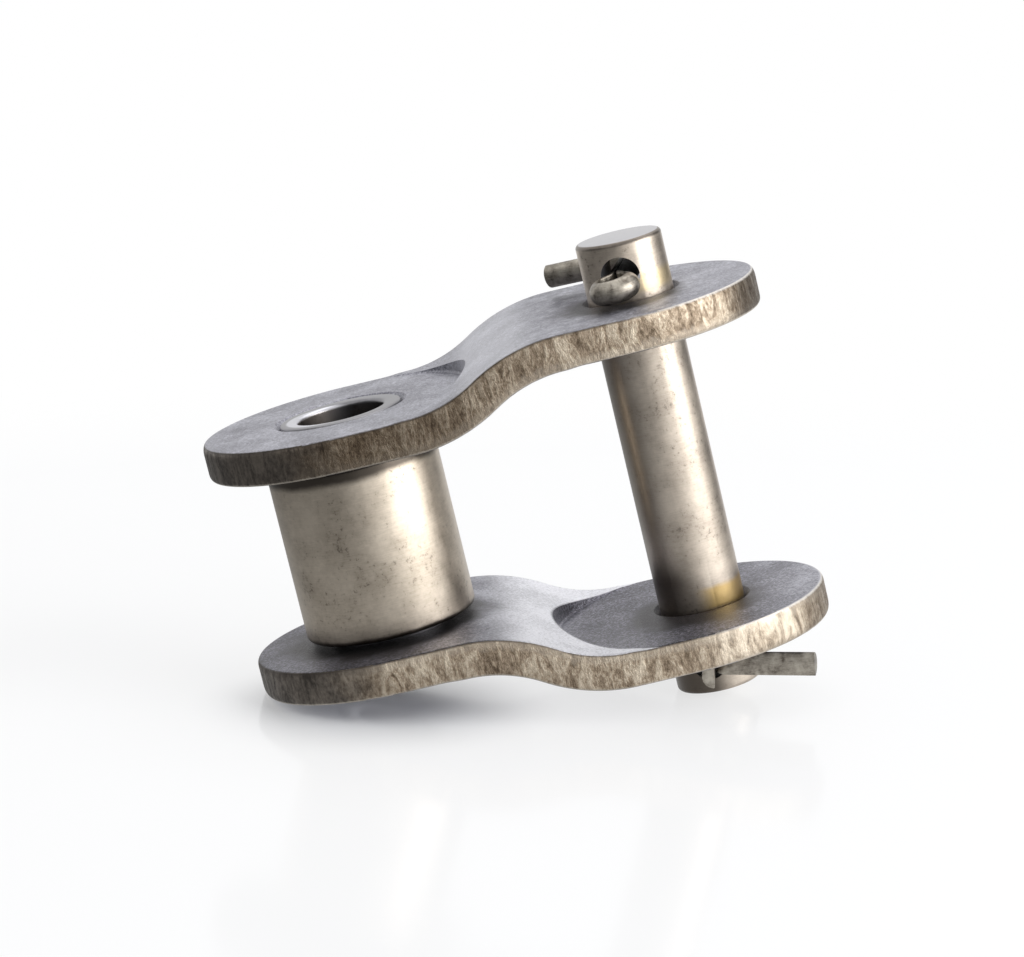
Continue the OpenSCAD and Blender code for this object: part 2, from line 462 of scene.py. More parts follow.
def leadWire(name):
    wireRadius = cf["wire"] / 2
    legStart = cotterMouth + cf["tight"]
    turnRadius = wireRadius + cf["tight"]
    eyeRadius = cf["eye"] / 2
    eyeTurn = math.acos((cf["legGap"] / 2 + turnRadius) / (turnRadius + eyeRadius))
    spread, bend = math.radians(cf["legSpread"]), math.radians(cf["legBend"])
    tipX = -cf["legGap"] / 2 - cf["shortLeg"] * math.sin(spread) - turnRadius * (1 - math.cos(spread))
    tipY = legStart + cf["shortLeg"] * math.cos(spread) + turnRadius * math.sin(spread)
    through = legStart + cotterMouth
    moves = [
        (cf["shortLeg"],), (turnRadius, -spread), (through,), (turnRadius, -eyeTurn),
        (eyeRadius, math.pi + 2 * eyeTurn), (turnRadius, -eyeTurn), (through,),
        (turnRadius, -bend), (cf["longLeg"],),
    ]
    # the half-round section stands upright at the short leg's tip, flat side to the left
    deselectAll()
    bpy.ops.mesh.primitive_circle_add(vertices=cf["wireSteps"], radius=wireRadius, fill_type="NGON")
    wire = bpy.context.active_object
    wire.name = name
    editMode("FACE")
    bpy.ops.mesh.select_all(action="SELECT")
    bpy.ops.mesh.bisect(
        plane_co=(0, 0, 0), plane_no=(1, 0, 0), use_fill=False, clear_inner=True, threshold=fineWeld
    )
    objectMode()
    selectWhere(wire, lambda co: abs(co.x) < fineWeld and abs(abs(co.y) - wireRadius) < weld)
    bpy.ops.mesh.bevel(offset=cf["corner"], segments=cf["cornerSteps"], affect="VERTICES")
    objectMode()
    heading = spread - math.pi / 2
    point = Vector((tipX, tipY, 0))
    right = Vector((math.sin(heading), -math.cos(heading), 0))
    ahead = Vector((math.cos(heading), math.sin(heading), 0))
    up = Vector((0, 0, 1))
    for vertex in wire.data.vertices:
        vertex.co = point + right * vertex.co.x + up * vertex.co.y
    editMode("FACE")
    bpy.ops.mesh.select_all(action="SELECT")
    for move in moves:
        if len(move) == 1:
            ahead = Vector((math.cos(heading), math.sin(heading), 0))
            bpy.ops.mesh.extrude_region_move(TRANSFORM_OT_translate={"value": ahead * move[0]})
            point = point + ahead * move[0]
        else:
            radius, angle = move
            left = Vector((-math.sin(heading), math.cos(heading), 0))
            centre = point + left * radius * (1 if angle > 0 else -1)
            steps = max(1, math.ceil(abs(math.degrees(angle)) / cf["stepAngle"]))
            bpy.ops.mesh.spin(steps=steps, angle=-angle, center=centre, axis=(0, 0, 1))
            point = centre + Matrix.Rotation(angle, 3, "Z") @ (point - centre)
            heading += angle
    bpy.ops.mesh.select_all(action="DESELECT")
    bpy.ops.mesh.select_interior_faces()
    bpy.ops.mesh.delete(type="FACE")
    objectMode()
    closeMesh(wire, weld)
    return wire


# materials
def startMaterial(name):
    material = bpy.data.materials.new(name)
    material.use_nodes = True
    return material, material.node_tree, material.node_tree.nodes["Principled BSDF"]


def addNode(tree, kind, values=None, **settings):
    node = tree.nodes.new(kind)
    for key, value in settings.items():
        setattr(node, key, value)
    for key, value in (values or {}).items():
        if isinstance(value, bpy.types.NodeSocket):
            tree.links.new(value, node.inputs[key])
        else:
            node.inputs[key].default_value = value
    return node


def linkCoords(tree, stretch=(1, 1, 1)):
    # Object coordinates turned into the link's own frame, in millimetres
    coords = addNode(tree, "ShaderNodeTexCoord")
    inverse = Matrix.Scale(1000, 4) @ linkInverse
    turned = addNode(
        tree, "ShaderNodeMapping",
        {
            "Vector": coords.outputs["Object"],
            "Location": inverse.to_translation(),
            "Rotation": linkInverse.to_euler(),
            "Scale": (1000, 1000, 1000),
        },
    )
    if stretch == (1, 1, 1):
        return turned.outputs[0]
    return addNode(
        tree, "ShaderNodeMapping", {"Vector": turned.outputs[0], "Scale": stretch}
    ).outputs[0]


def grain(tree, vector, scale, detail=3.0, roughness=0.55, distortion=0.0):
    return addNode(
        tree, "ShaderNodeTexNoise",
        {"Vector": vector, "Scale": scale, "Detail": detail, "Roughness": roughness,
         "Distortion": distortion},
    ).outputs["Fac"]


def ramp(tree, value, stops):
    node = addNode(tree, "ShaderNodeValToRGB", {"Fac": value})
    while len(node.color_ramp.elements) < len(stops):
        node.color_ramp.elements.new(0.5)
    for element, (place, colour) in zip(node.color_ramp.elements, stops):
        element.position = place
        element.color = (*colour, 1)
    return node.outputs["Color"]


def between(tree, value, low, high, outLow=0.0, outHigh=1.0):
    # a smooth step from one value to another
    node = addNode(
        tree, "ShaderNodeMapRange",
        {"Value": value, "From Min": low, "From Max": high, "To Min": outLow, "To Max": outHigh},
    )
    node.interpolation_type = "SMOOTHSTEP"
    return node.outputs["Result"]


def math2(tree, operation, a, b):
    return addNode(tree, "ShaderNodeMath", {0: a, 1: b}, operation=operation).outputs[0]


def mixColour(tree, factor, a, b, blend="MIX"):
    node = addNode(tree, "ShaderNodeMix", data_type="RGBA", blend_type=blend)
    for index, value in ((0, factor), (6, a), (7, b)):
        if isinstance(value, bpy.types.NodeSocket):
            tree.links.new(value, node.inputs[index])
        else:
            node.inputs[index].default_value = value if index == 0 else (*value, 1)
    return node.outputs[2]


def bump(tree, height, strength, distance):
    values = {"Height": height, "Strength": strength, "Distance": distance}
    return addNode(tree, "ShaderNodeBump", values).outputs[0]


def axisValue(tree, vector, axis):
    return addNode(tree, "ShaderNodeSeparateXYZ", {0: vector}).outputs[axis]


def distanceFrom(tree, place, x, y):
    # distance from an axis that stands upright in the link's frame
    flat = addNode(tree, "ShaderNodeVectorMath", {0: place, 1: (1, 1, 0)}, operation="MULTIPLY")
    away = addNode(
        tree, "ShaderNodeVectorMath", {0: flat.outputs[0], 1: (x, y, 0)}, operation="DISTANCE"
    )
    return away.outputs["Value"]


def product(tree, *values):
    result = values[0]
    for value in values[1:]:
        result = math2(tree, "MULTIPLY", result, value)
    return result


def blendOf(tree, *parts):
    # weighted sum of several grains
    result = product(tree, *parts[0])
    for part in parts[1:]:
        result = math2(tree, "ADD", result, product(tree, *part))
    return result


def attribute(tree, name):
    return addNode(tree, "ShaderNodeAttribute", attribute_name=name).outputs["Fac"]


def stretchOf(tree, value, start, full, fade, end):
    # one over a stretch, with soft ends
    return product(tree, between(tree, value, start, full), between(tree, value, end, fade))


def centred(tree, value, spread):
    # a grain as a wander about zero
    return product(tree, math2(tree, "SUBTRACT", value, 0.5), spread)


# plate faces; places are millimetres in the link's frame
# a grain is scale, detail, roughness and distortion, a stretch is start, full, fade and end
faceFinish = {
    "dark": (0.13, 0.128, 0.148),
    "middle": (0.285, 0.282, 0.32),
    "pale": (0.5, 0.5, 0.55),
    "toneStops": (0.4, 0.5, 0.6),
    "fineGrain": (2.3, 8, 0.72),
    "broadGrain": (0.14, 4, 0.55),
    "grainShares": (0.74, 0.26),
    "outerWall": (0.5, 0.8),
    "innerWall": (0.5, 0.2),
    "speckGrain": (0.8, 5, 0.62),
    "speckEdge": (0.37, 0.31),
    "speckAmount": 0.6,
    "speck": (0.06, 0.052, 0.05),
    "blotchGrain": (0.42, 7, 0.72),
    "blotchEdge": (0.56, 0.42),
    "blotchStretch": (29.0, 38.0, 56.0, 66.0),
    "blotchAmount": 0.45,
    "blotch": (0.1, 0.1, 0.118),
    "rimEdge": (0.95, 0.45),
    "rimRagged": 0.6,
    "rimAmount": 0.8,
    "brightRimFrom": (46.0, 62.0),
    "brightRim": (0.72, 0.71, 0.72),
    "darkRim": (0.1, 0.09, 0.085),
    "bendStretch": (17.0, 23.0, 29.0, 36.0),
    "bendAmount": 0.25,
    "slopeStart": (14.5, 23.0),
    "slopeGrain": (0.4, 0.56, 0.6, 1.0),
    "slopeAmount": 0.9,
    # painted highlight for the slopes of the crank
    "burnished": (0.9, 0.9, 0.94),
    "pocketReach": 24.6,  # the relief's floor, from the pin's axis
    "pocketEdge": 0.6,
    # painted shade on the inner faces, towards the bush and in the pocket
    "dullBushEnd": (16.0, 4.0),
    "dullPinEnd": (70.0, 54.0),
    "dullStops": (0.43, 0.57),
    "dullDark": (0.24, 0.23, 0.24),
    "dullPale": (0.62, 0.61, 0.64),
    # painted shadow near the roller and the pin
    "oil": (0.03, 0.026, 0.025),
    "oilWander": 8.0,
    "oilAmount": 0.96,
    "rollerOilCentre": (-1.0, -1.0),
    "rollerOilEdge": (20.0, 13.5),
    "pinOilShift": (-1.5, -4.0),
    "pinOilEdge": (13.0, 8.0, 0.0, 0.85),
    "roughness": (0.3, 0.7, 0.36, 0.56),
    "metallic": 0.7,
    "bump": 0.35,
    "bumpDepth": 0.0002,
}
pinX = pitch / mm


def plateFaceMaterial():
    look = faceFinish
    material, tree, shader = startMaterial("plateFace")
    place = linkCoords(tree)
    along = axisValue(tree, place, 0)
    fine = grain(tree, place, *look["fineGrain"])
    broad = grain(tree, place, *look["broadGrain"])
    mixed = blendOf(tree, *zip((fine, broad), look["grainShares"]))
    tones = (look["dark"], look["middle"], look["pale"])
    colour = ramp(tree, mixed, list(zip(look["toneStops"], tones)))
    speck = between(tree, grain(tree, place, *look["speckGrain"]), *look["speckEdge"])
    colour = mixColour(tree, product(tree, speck, look["speckAmount"]), colour, look["speck"])
    # rims: a painted highlight at the pin end, dark along the sides
    inset = math2(tree, "ADD", attribute(tree, "rimInset"), product(tree, fine, look["rimRagged"]))
    rim = between(tree, inset, *look["rimEdge"])
    pinEnd = between(tree, along, *look["brightRimFrom"])
    rimTone = mixColour(tree, pinEnd, look["darkRim"], look["brightRim"])
    colour = mixColour(tree, product(tree, rim, look["rimAmount"]), colour, rimTone)
    # the outer faces: a painted highlight on the bend, then dark blotches on the wide end
    outer = between(tree, attribute(tree, "wallHeight"), *look["outerWall"])
    bend = product(tree, outer, stretchOf(tree, along, *look["bendStretch"]), look["bendAmount"])
    colour = mixColour(tree, bend, colour, look["burnished"])
    blotches = between(tree, grain(tree, place, *look["blotchGrain"]), *look["blotchEdge"])
    wideEnd = stretchOf(tree, along, *look["blotchStretch"])
    blotched = product(tree, outer, blotches, wideEnd, look["blotchAmount"])
    colour = mixColour(tree, blotched, colour, look["blotch"])
    # the inner faces: painted shade where the upper plate shades them, painted shadow near the
    # roller, and a painted highlight on the slope
    inner = between(tree, attribute(tree, "wallHeight"), *look["innerWall"])
    fromPin = distanceFrom(tree, place, pinX, 0.0)
    reach, reachEnd = look["pocketReach"], look["pocketReach"] + look["pocketEdge"]
    slope = product(
        tree, inner, between(tree, along, *look["slopeStart"]),
        between(tree, fromPin, reach, reachEnd), between(tree, mixed, *look["slopeGrain"]),
    )
    # painted shade on the inner faces, where the upper plate shades them
    innerShadeTones = (look["dullDark"], look["dullPale"])
    innerShadeTone = ramp(tree, fine, list(zip(look["dullStops"], innerShadeTones)))
    innerShaded = mixColour(tree, 1.0, colour, innerShadeTone, "MULTIPLY")
    inPocket = between(tree, fromPin, reachEnd, reach)
    pocketShade = product(tree, inPocket, between(tree, along, *look["dullPinEnd"]))
    innerShadeAmount = math2(tree, "MAXIMUM", between(tree, along, *look["dullBushEnd"]), pocketShade)
    colour = mixColour(tree, product(tree, inner, innerShadeAmount), colour, innerShaded)
    # painted highlight on the slope of the inner faces
    colour = mixColour(tree, product(tree, slope, look["slopeAmount"]), colour, look["burnished"])
    # painted shadow round the roller, and round the pin and the split pin's eye
    ragged = centred(tree, broad, look["oilWander"])
    nearRoller = math2(tree, "ADD", distanceFrom(tree, place, *look["rollerOilCentre"]), ragged)
    oily = product(tree, inner, between(tree, nearRoller, *look["rollerOilEdge"]))
    shiftX, shiftY = look["pinOilShift"]
    nearPin = math2(tree, "ADD", distanceFrom(tree, place, pinX + shiftX, shiftY), ragged)
    oily = math2(tree, "MAXIMUM", oily, between(tree, nearPin, *look["pinOilEdge"]))
    colour = mixColour(tree, product(tree, oily, look["oilAmount"]), colour, look["oil"])
    tree.links.new(colour, shader.inputs["Base Color"])
    tree.links.new(between(tree, fine, *look["roughness"]), shader.inputs["Roughness"])
    tree.links.new(bump(tree, fine, look["bump"], look["bumpDepth"]), shader.inputs["Normal"])
    shader.inputs["Metallic"].default_value = look["metallic"]
    return material


# sheared edges of the plates
edgeFinish = {
    "dark": (0.115, 0.084, 0.058),
    "bronze": (0.3, 0.235, 0.17),
    "cream": (0.66, 0.57, 0.45),
    "toneStops": (0.4, 0.485, 0.61),
    "streakStretch": (1, 1, 0.3),
    "streakGrain": (0.5, 6, 0.66, 0.9),
    "fineStretch": (1, 1, 0.7),
    "fineGrain": (1.7, 6, 0.74),
    "patchGrain": (0.2, 3, 0.55),
    "grainShares": (0.5, 0.36, 0.14),
    "burnishEdge": (0.3, 0.14, 0.0, 0.5),
    "burnishRagged": 0.7,
    "burnish": (0.46, 0.4, 0.325),
    # painted shade on the upper plate's edge towards the bush
    "stainFrom": (48.0, 2.0),
    "stain": (0.36, 0.34, 0.32),
    "roundEndEdge": (7.0, -6.0),
    "roundEndRagged": 12.0,
    "roundEndBump": 0.3,
    "smoothGrain": (0.38, 0.62),
    "smooth": ((0.06, 0.052, 0.045), (0.2, 0.172, 0.145)),
    # painted highlight on the lower plate's edge beside the pin
    "wornStretch": (46.0, 54.0, 63.0, 67.0),
    "wornGrain": (0.35, 0.6, 0.2, 0.7),
    "worn": (0.74, 0.65, 0.53),
    # painted shade at the tips of the edges
    "tipFrom": (64.0, 68.0),
    "tipAmounts": (0.55, 1.0),  # lower and upper plate
    "tip": (0.36, 0.36, 0.37),
    "rimEdge": (0.46, 0.515),
    "rimRagged": 0.08,
    "rimAmount": 0.75,
    "brightRimFrom": (46.0, 62.0),
    "brightRim": (0.78, 0.75, 0.71),
    "darkRim": (0.05, 0.042, 0.036),
    "paleRim": (0.55, 0.5, 0.43),
    "roughness": (0.38, 0.62, 0.58, 0.36),
    "metallic": 0.95,
    "bump": 0.6,
    "bumpDepth": 0.0007,
}
middleGap = (-5.0, 5.0)  # heights between the two plates, to tell them apart


def plateEdgeMaterial():
    look = edgeFinish
    material, tree, shader = startMaterial("shearedEdge")
    place = linkCoords(tree)
    along, height = axisValue(tree, place, 0), axisValue(tree, place, 2)
    streaks = grain(tree, linkCoords(tree, look["streakStretch"]), *look["streakGrain"])
    fine = grain(tree, linkCoords(tree, look["fineStretch"]), *look["fineGrain"])
    patches = grain(tree, place, *look["patchGrain"])
    mixed = blendOf(tree, *zip((streaks, fine, patches), look["grainShares"]))
    tones = (look["dark"], look["bronze"], look["cream"])
    colour = ramp(tree, mixed, list(zip(look["toneStops"], tones)))
    torn = centred(tree, streaks, look["burnishRagged"])
    wall = math2(tree, "ADD", attribute(tree, "wallHeight"), torn)
    colour = mixColour(tree, between(tree, wall, *look["burnishEdge"]), colour, look["burnish"])
    # the upper plate has painted shade towards the bush, and the round end there is smooth, darkened
    # with painted shade
    upper = between(tree, height, *middleGap)
    stain = product(tree, between(tree, along, *look["stainFrom"]), upper)
    bushEndShaded = mixColour(tree, 1.0, colour, look["stain"], "MULTIPLY")
    colour = mixColour(tree, stain, colour, bushEndShaded)
    wobble = math2(tree, "ADD", along, product(tree, patches, look["roundEndRagged"]))
    roundEnd = between(tree, wobble, *look["roundEndEdge"])
    # the round end's smooth finish, darkened with painted shade
    smooth = mixColour(tree, between(tree, mixed, *look["smoothGrain"]), *look["smooth"])
    colour = mixColour(tree, roundEnd, colour, smooth)
    # the lower plate has a painted highlight beside the pin, and both tips have painted shade
    worn = product(
        tree, stretchOf(tree, along, *look["wornStretch"]), between(tree, height, *middleGap[::-1]),
        between(tree, streaks, *look["wornGrain"]),
    )
    colour = mixColour(tree, worn, colour, look["worn"])
    # painted shade at both tips
    tip = mixColour(tree, 1.0, colour, look["tip"], "MULTIPLY")
    tipShadeAmount = between(tree, height, *middleGap, *look["tipAmounts"])
    tipShadeMask = product(tree, between(tree, along, *look["tipFrom"]), tipShadeAmount)
    colour = mixColour(tree, tipShadeMask, colour, tip)
    # rims: the lower one is pale, the upper one is dark along the sides, with a painted highlight at
    # the pin end
    fromMiddle = math2(tree, "SUBTRACT", attribute(tree, "wallHeight"), 0.5)
    rimPlace = math2(tree, "ABSOLUTE", fromMiddle, 0.0)
    rimPlace = math2(tree, "ADD", rimPlace, product(tree, fine, look["rimRagged"]))
    rim = between(tree, rimPlace, *look["rimEdge"])
    upward = product(tree, fromMiddle, between(tree, height, *middleGap, -1.0, 1.0))
    pinEnd = between(tree, along, *look["brightRimFrom"])
    rimTone = mixColour(tree, pinEnd, look["darkRim"], look["brightRim"])
    rimTone = mixColour(tree, between(tree, upward, 0.1, -0.1), rimTone, look["paleRim"])
    colour = mixColour(tree, product(tree, rim, look["rimAmount"]), colour, rimTone)
    tree.links.new(colour, shader.inputs["Base Color"])
    tree.links.new(between(tree, mixed, *look["roughness"]), shader.inputs["Roughness"])
    depth = product(tree, mixed, between(tree, roundEnd, 0.0, 1.0, 1.0, look["roundEndBump"]))
    tree.links.new(bump(tree, depth, look["bump"], look["bumpDepth"]), shader.inputs["Normal"])
    shader.inputs["Metallic"].default_value = look["metallic"]
    return material


# turned and drawn steel
turnedFinish = {
    "roller": {"dark": (0.38, 0.325, 0.26), "pale": (0.62, 0.545, 0.45), "roughness": (0.3, 0.4)},
    "pin": {
        "dark": (0.35, 0.3, 0.25), "pale": (0.58, 0.51, 0.43), "roughness": (0.3, 0.38),
        # the first two pin tints on this line are painted shade, and the gold one is a painted
        # reflection
        "oily": (0.19, 0.168, 0.148), "sooty": (0.06, 0.048, 0.038), "gold": (0.62, 0.42, 0.13),
        # the foot tint is painted shade
        "straw": (0.6, 0.47, 0.22), "foot": (0.045, 0.037, 0.03), "headRim": (0.09, 0.078, 0.07),
        "headTop": (0.55, 0.55, 0.575),
    },
    "bush": {
        "dark": (0.15, 0.147, 0.157), "pale": (0.27, 0.266, 0.28), "roughness": (0.27, 0.4),
        # the bore's tints are painted shade inside it, and the mouth's crescent tint is a painted
        # highlight
        "bore": (0.15, 0.115, 0.08), "deepBore": (0.012, 0.01, 0.009), "lip": (0.66, 0.66, 0.7),
        "lipCentre": (-1.3, -0.3), "lipEdge": (0.75, 0.3), "lipAmount": 0.75,
        "boreEdge": (0.12, -0.05), "deepFrom": (-5.0, 1.0),
    },
    "cotter": {
        "dark": (0.13, 0.112, 0.092), "pale": (0.46, 0.425, 0.365), "roughness": (0.34, 0.5),
    },
    "lineStretch": (0.35, 0.35, 5.0),
    "lineGrain": (1.2, 3, 0.6),
    "cloudScale": 0.14,
    "cotterCloudScale": 0.5,
    "cloudGrain": (5, 0.62),
    "spotGrain": (1.35, 6, 0.72),
    "grainShares": (0.18, 0.6, 0.22),
    "toneStops": (0.37, 0.61),
    "roughGrain": (0.34, 0.64),
    "pitEdge": (0.61, 0.5),
    "pitClouds": 0.4,
    "pitAmount": 0.55,
    # bands hold stains, painted shade and a painted reflection alike
    "stainWander": 1.6,
    "crispStain": 0.3,  # no softer than this, a stain's border is straight
    "pit": (0.1, 0.085, 0.07),
    # painted shade for the roller's ends next to the plates
    "grease": (0.05, 0.042, 0.035),
    # painted shade inside the cross holes
    "holeGrease": (0.012, 0.01, 0.009),
    "bump": 0.1,
    "bumpDepth": 0.0001,
    "lineDepth": 0.15,
}


def turnedMaterial(name, bands=(), bore=0.0, hole=None, cloudScale=turnedFinish["cloudScale"]):
    # a band is (from height, to height, softness, tint, amount, from x, to x), in mm; bands hold
    # stains, painted shade and a painted reflection
    steel, look = turnedFinish, turnedFinish[name]
    material, tree, shader = startMaterial(name + "Steel")
    place = linkCoords(tree)
    along, height = axisValue(tree, place, 0), axisValue(tree, place, 2)
    lines = grain(tree, linkCoords(tree, steel["lineStretch"]), *steel["lineGrain"])
    clouds = grain(tree, place, cloudScale, *steel["cloudGrain"])
    spots = grain(tree, place, *steel["spotGrain"])
    mixed = blendOf(tree, *zip((lines, clouds, spots), steel["grainShares"]))
    colour = ramp(tree, mixed, list(zip(steel["toneStops"], (look["dark"], look["pale"]))))
    pitDepth = math2(tree, "ADD", spots, product(tree, clouds, steel["pitClouds"]))
    pitted = between(tree, pitDepth, *steel["pitEdge"])
    colour = mixColour(tree, product(tree, pitted, steel["pitAmount"]), colour, steel["pit"])
    wavy = math2(tree, "ADD", height, centred(tree, clouds, steel["stainWander"]))
    for low, high, soft, tint, amount, left, right in bands:
        level = wavy if soft > steel["crispStain"] else height
        band = stretchOf(tree, level, low, low + soft, high - soft, high)
        band = product(tree, band, between(tree, along, left, right), amount)
        colour = mixColour(tree, band, colour, tint)
    if bore:
        # a painted highlight as a crescent on the mouth, and painted shade inside the bore, darkest
        # to the right
        mouth = distanceFrom(tree, place, *look["lipCentre"])
        lipEdge, boreEdge = ([bore + edge for edge in look[key]] for key in ("lipEdge", "boreEdge"))
        highlightCrescent = between(tree, mouth, *lipEdge, 0.0, look["lipAmount"])
        colour = mixColour(tree, highlightCrescent, colour, look["lip"])
        inside = between(tree, distanceFrom(tree, place, 0.0, 0.0), *boreEdge)
        deep = between(tree, along, *look["deepFrom"])
        boreShade = mixColour(tree, deep, look["bore"], look["deepBore"])
        colour = mixColour(tree, inside, colour, boreShade)
    if hole:
        # painted shade in the cross holes
        reach, low, high, soft = hole
        inside = between(tree, distanceFrom(tree, place, pinX, 0.0), *reach)
        inside = product(tree, inside, stretchOf(tree, height, low, low + soft, high - soft, high))
        colour = mixColour(tree, inside, colour, steel["holeGrease"])
    tree.links.new(colour, shader.inputs["Base Color"])
    rough = between(tree, mixed, *steel["roughGrain"], *look["roughness"])
    tree.links.new(rough, shader.inputs["Roughness"])
    relief = math2(tree, "SUBTRACT", product(tree, lines, steel["lineDepth"]), pitted)
    tree.links.new(bump(tree, relief, steel["bump"], steel["bumpDepth"]), shader.inputs["Normal"])
    shader.inputs["Metallic"].default_value = 1.0
    return material


plateFace = plateFaceMaterial()
plateEdge = plateEdgeMaterial()
pinFoot, pinHead = (pinSlide - pinHalf) / mm, (pinSlide + pinHalf) / mm
rollerEnd = linkBox("roller")[1][2] / mm
plateIn, plateOut = wideIn / mm, wideOut / mm
beyond, everywhere = 60.0, (-99.0, -98.0)  # past both ends, and a border left of it all
grease = turnedFinish["grease"]
# painted shade at both ends of the roller, next to the plates
rollerEndShades = [
    (rollerEnd - 3.0, beyond, 1.4, grease, 0.93, *everywhere),
    (-beyond, -rollerEnd + 1.3, 1.0, grease, 0.85, *everywhere),
]
tints = turnedFinish["pin"]
pinBands = [
    # painted shade on the pin's left side
    (-beyond, plateIn, 0.5, tints["oily"], 0.7, pinX - 1.5, pinX - 5.0),  # left side
    # painted shade low on the pin's left, above the lower plate
    (-plateIn - 1, -plateIn + 12, 8.0, tints["sooty"], 0.9, pinX + 1.5, pinX - 4.0),
    # painted reflection, golden, low on the pin's right
    (-plateIn - 1, -plateIn + 4.2, 1.2, tints["gold"], 0.75, pinX - 1.5, pinX + 2.5),
    (plateOut + 0.2, plateOut + 4.6, 1.4, tints["straw"], 0.5, pinX - 1.0, pinX + 3.0),
    # painted shade on the left of the pin's foot
    (-beyond, -plateOut, 0.5, tints["foot"], 0.85, pinX + 2.5, pinX - 1.5),
    (pinHead - 0.8, beyond, 0.3, tints["headRim"], 0.75, *everywhere),
    (pinHead - 0.09, beyond, 0.06, tints["headTop"], 0.8, *everywhere),
]
pinHole = ((6.8, 6.3), pinFoot + 0.7, pinHead - 0.7, 0.3)  # reach, foot, head and softness
rollerSteel = turnedMaterial("roller", rollerEndShades)
bushSteel = turnedMaterial("bush", bore=mounts["bush_bore"]["dims"]["r_mm"])
pinSteel = turnedMaterial("pin", pinBands, hole=pinHole)
cotterSteel = turnedMaterial("cotter", hole=pinHole, cloudScale=turnedFinish["cotterCloudScale"])
print("materials mixed")

# upper plate, and its mirror below
upperPlate = buildPlate("upperPlate")
markPlate(upperPlate, (plateFace, plateEdge))
makeActive(upperPlate)
bpy.ops.object.duplicate()
lowerPlate = bpy.context.active_object
lowerPlate.name = "lowerPlate"
lowerPlate.scale.z = -1
bpy.ops.object.transform_apply(scale=True)
closeMesh(lowerPlate)
for plate, node in ((upperPlate, "upper_plate"), (lowerPlate, "lower_plate")):
    seat(plate, linkPlace)
    smoothFaces(plate)
    dress(plate, "link", node)
print("plates bent")

# bush, roller and pin
boreRadius = mounts["bush_bore"]["dims"]["r_mm"] * mm
bushHalf = linkBox("bush")[1][2]
bush = turnSleeve("bushSleeve", boreRadius, bushRadius, bushHalf, tf["boreRound"], tf["bushRound"])
rollerTop = linkBox("roller")[1]
roller = turnSleeve(
    "chainRoller", bushRadius + tf["rollerRoom"], rollerTop[1], rollerTop[2],
    tf["rollerRound"], tf["rollerRound"],
)
pin = turnPin(
    "linkPin", pinHalf - tf["pinSkim"], cotterHole, (-cotterHeight, cotterHeight),
    math.radians(cf["pinTurn"]),
)
seat(pin, Matrix.Translation((pitch, 0, pinSlide)))
for piece, body, node, slot, steel in (
    (bush, "link", "bush", "bush_steel", bushSteel),
    (roller, "roller", "roller", "roller_steel", rollerSteel),
    (pin, "link", "pin", "pin_steel", pinSteel),
):
    seat(piece, linkPlace)
    piece.data.materials.append(steel)
    smoothFaces(piece)
    dress(piece, body, node)
print("bush, roller and pin turned")

# split pins: the upper one's eye and the lower one's legs face the front
upperCotter = leadWire("upperSplitPin")
makeActive(upperCotter)
bpy.ops.object.duplicate()
lowerCotter = bpy.context.active_object
lowerCotter.name = "lowerSplitPin"
legReach = cf["longLeg"] + cf["wire"] + cf["tight"]
eyeReach = cf["eye"] / 2 + cf["wire"] / 2
for wire, node, side, flip, shares, room, reach in (
    (upperCotter, "upper_cotter", 1, (-1, 1, 1, 1), cf["upperShares"], 2 * pinSlide, -legReach),
    (lowerCotter, "lower_cotter", -1, (1, -1, 1, 1), cf["lowerShares"], 0, eyeReach),
):
    # each one turns, tilts, drops and rolls as far as its hole and the plate beside it let it
    turn, lean = (math.asin(share * cf["holeRoom"] / cotterMouth) for share in shares[:2])
    drop = shares[2] * cf["holeRoom"]
    roll = math.asin(shares[3] * (cf["legRoom"] + room - side * drop) / reach)
    place = Matrix.Translation((pitch, 0, pinSlide + side * cotterHeight - drop))
    place = place @ Matrix.Rotation(math.radians(cf["pinTurn"]) + turn, 4, "Z")
    place = place @ Matrix.Rotation(lean, 4, "X") @ Matrix.Rotation(roll, 4, "Y")
    seat(wire, linkPlace @ place @ Matrix.Diagonal(flip))
    closeMesh(wire)
    wire.data.materials.append(cotterSteel)
    smoothFaces(wire)
    dress(wire, "link", node)
print("split pins bent")

# floor, light and background
studio = {
    "floor": 3.0,
    "floorColour": (0.95, 0.953, 0.963),
    "floorRoughness": 0.12,
    "floorGloss": 0.25,
    "floorFade": (0.05, 0.3),
    "contact": (-0.024, -0.011, 0.0),
    "contactFade": (0.006, 0.032, 0.0, 0.7),
    "world": 0.52,
    "worldColour": (0.95, 0.97, 1.0, 1),
    "cardColour": (0.97, 0.985, 1, 1),
    "cardFade": (0.25, 0.5),
    "flagTone": 0.255,
    "flagRightTone": 0.663,
    "cardTone": 2.1,
    "cardRightTone": 1.26,
    "aim": (0, 0, 0.035),
    "lamps": {  # place, size, power
        "keyBox": ((0.95, -0.48, 0.5), (1.0, 0.9), 12.5),
        "topBox": ((0.15, 0.35, 1.0), (1.0, 0.8), 3.0),
    },
    "flags": {  # place, size, turn
        "floorFlag": ((-0.29, -0.2, 0.0005), (0.62, 0.9), (0, 0, 0)),
        "frontFlag": ((-0.29, -0.65, 0.2), (0.62, 0.4), (-90, 180, 0)),
        "leftFlag": ((-0.6, -0.2, 0.2), (0.9, 0.4), (90, 0, 90)),
        "rightFlag": ((0.3, 0.24, 0.2), (0.34, 0.4), (90, 0, -90)),
    },
    "floorCard": ((0.34, -0.3, 0.0005), (0.5, 0.56), (0, 0, 0)),
}


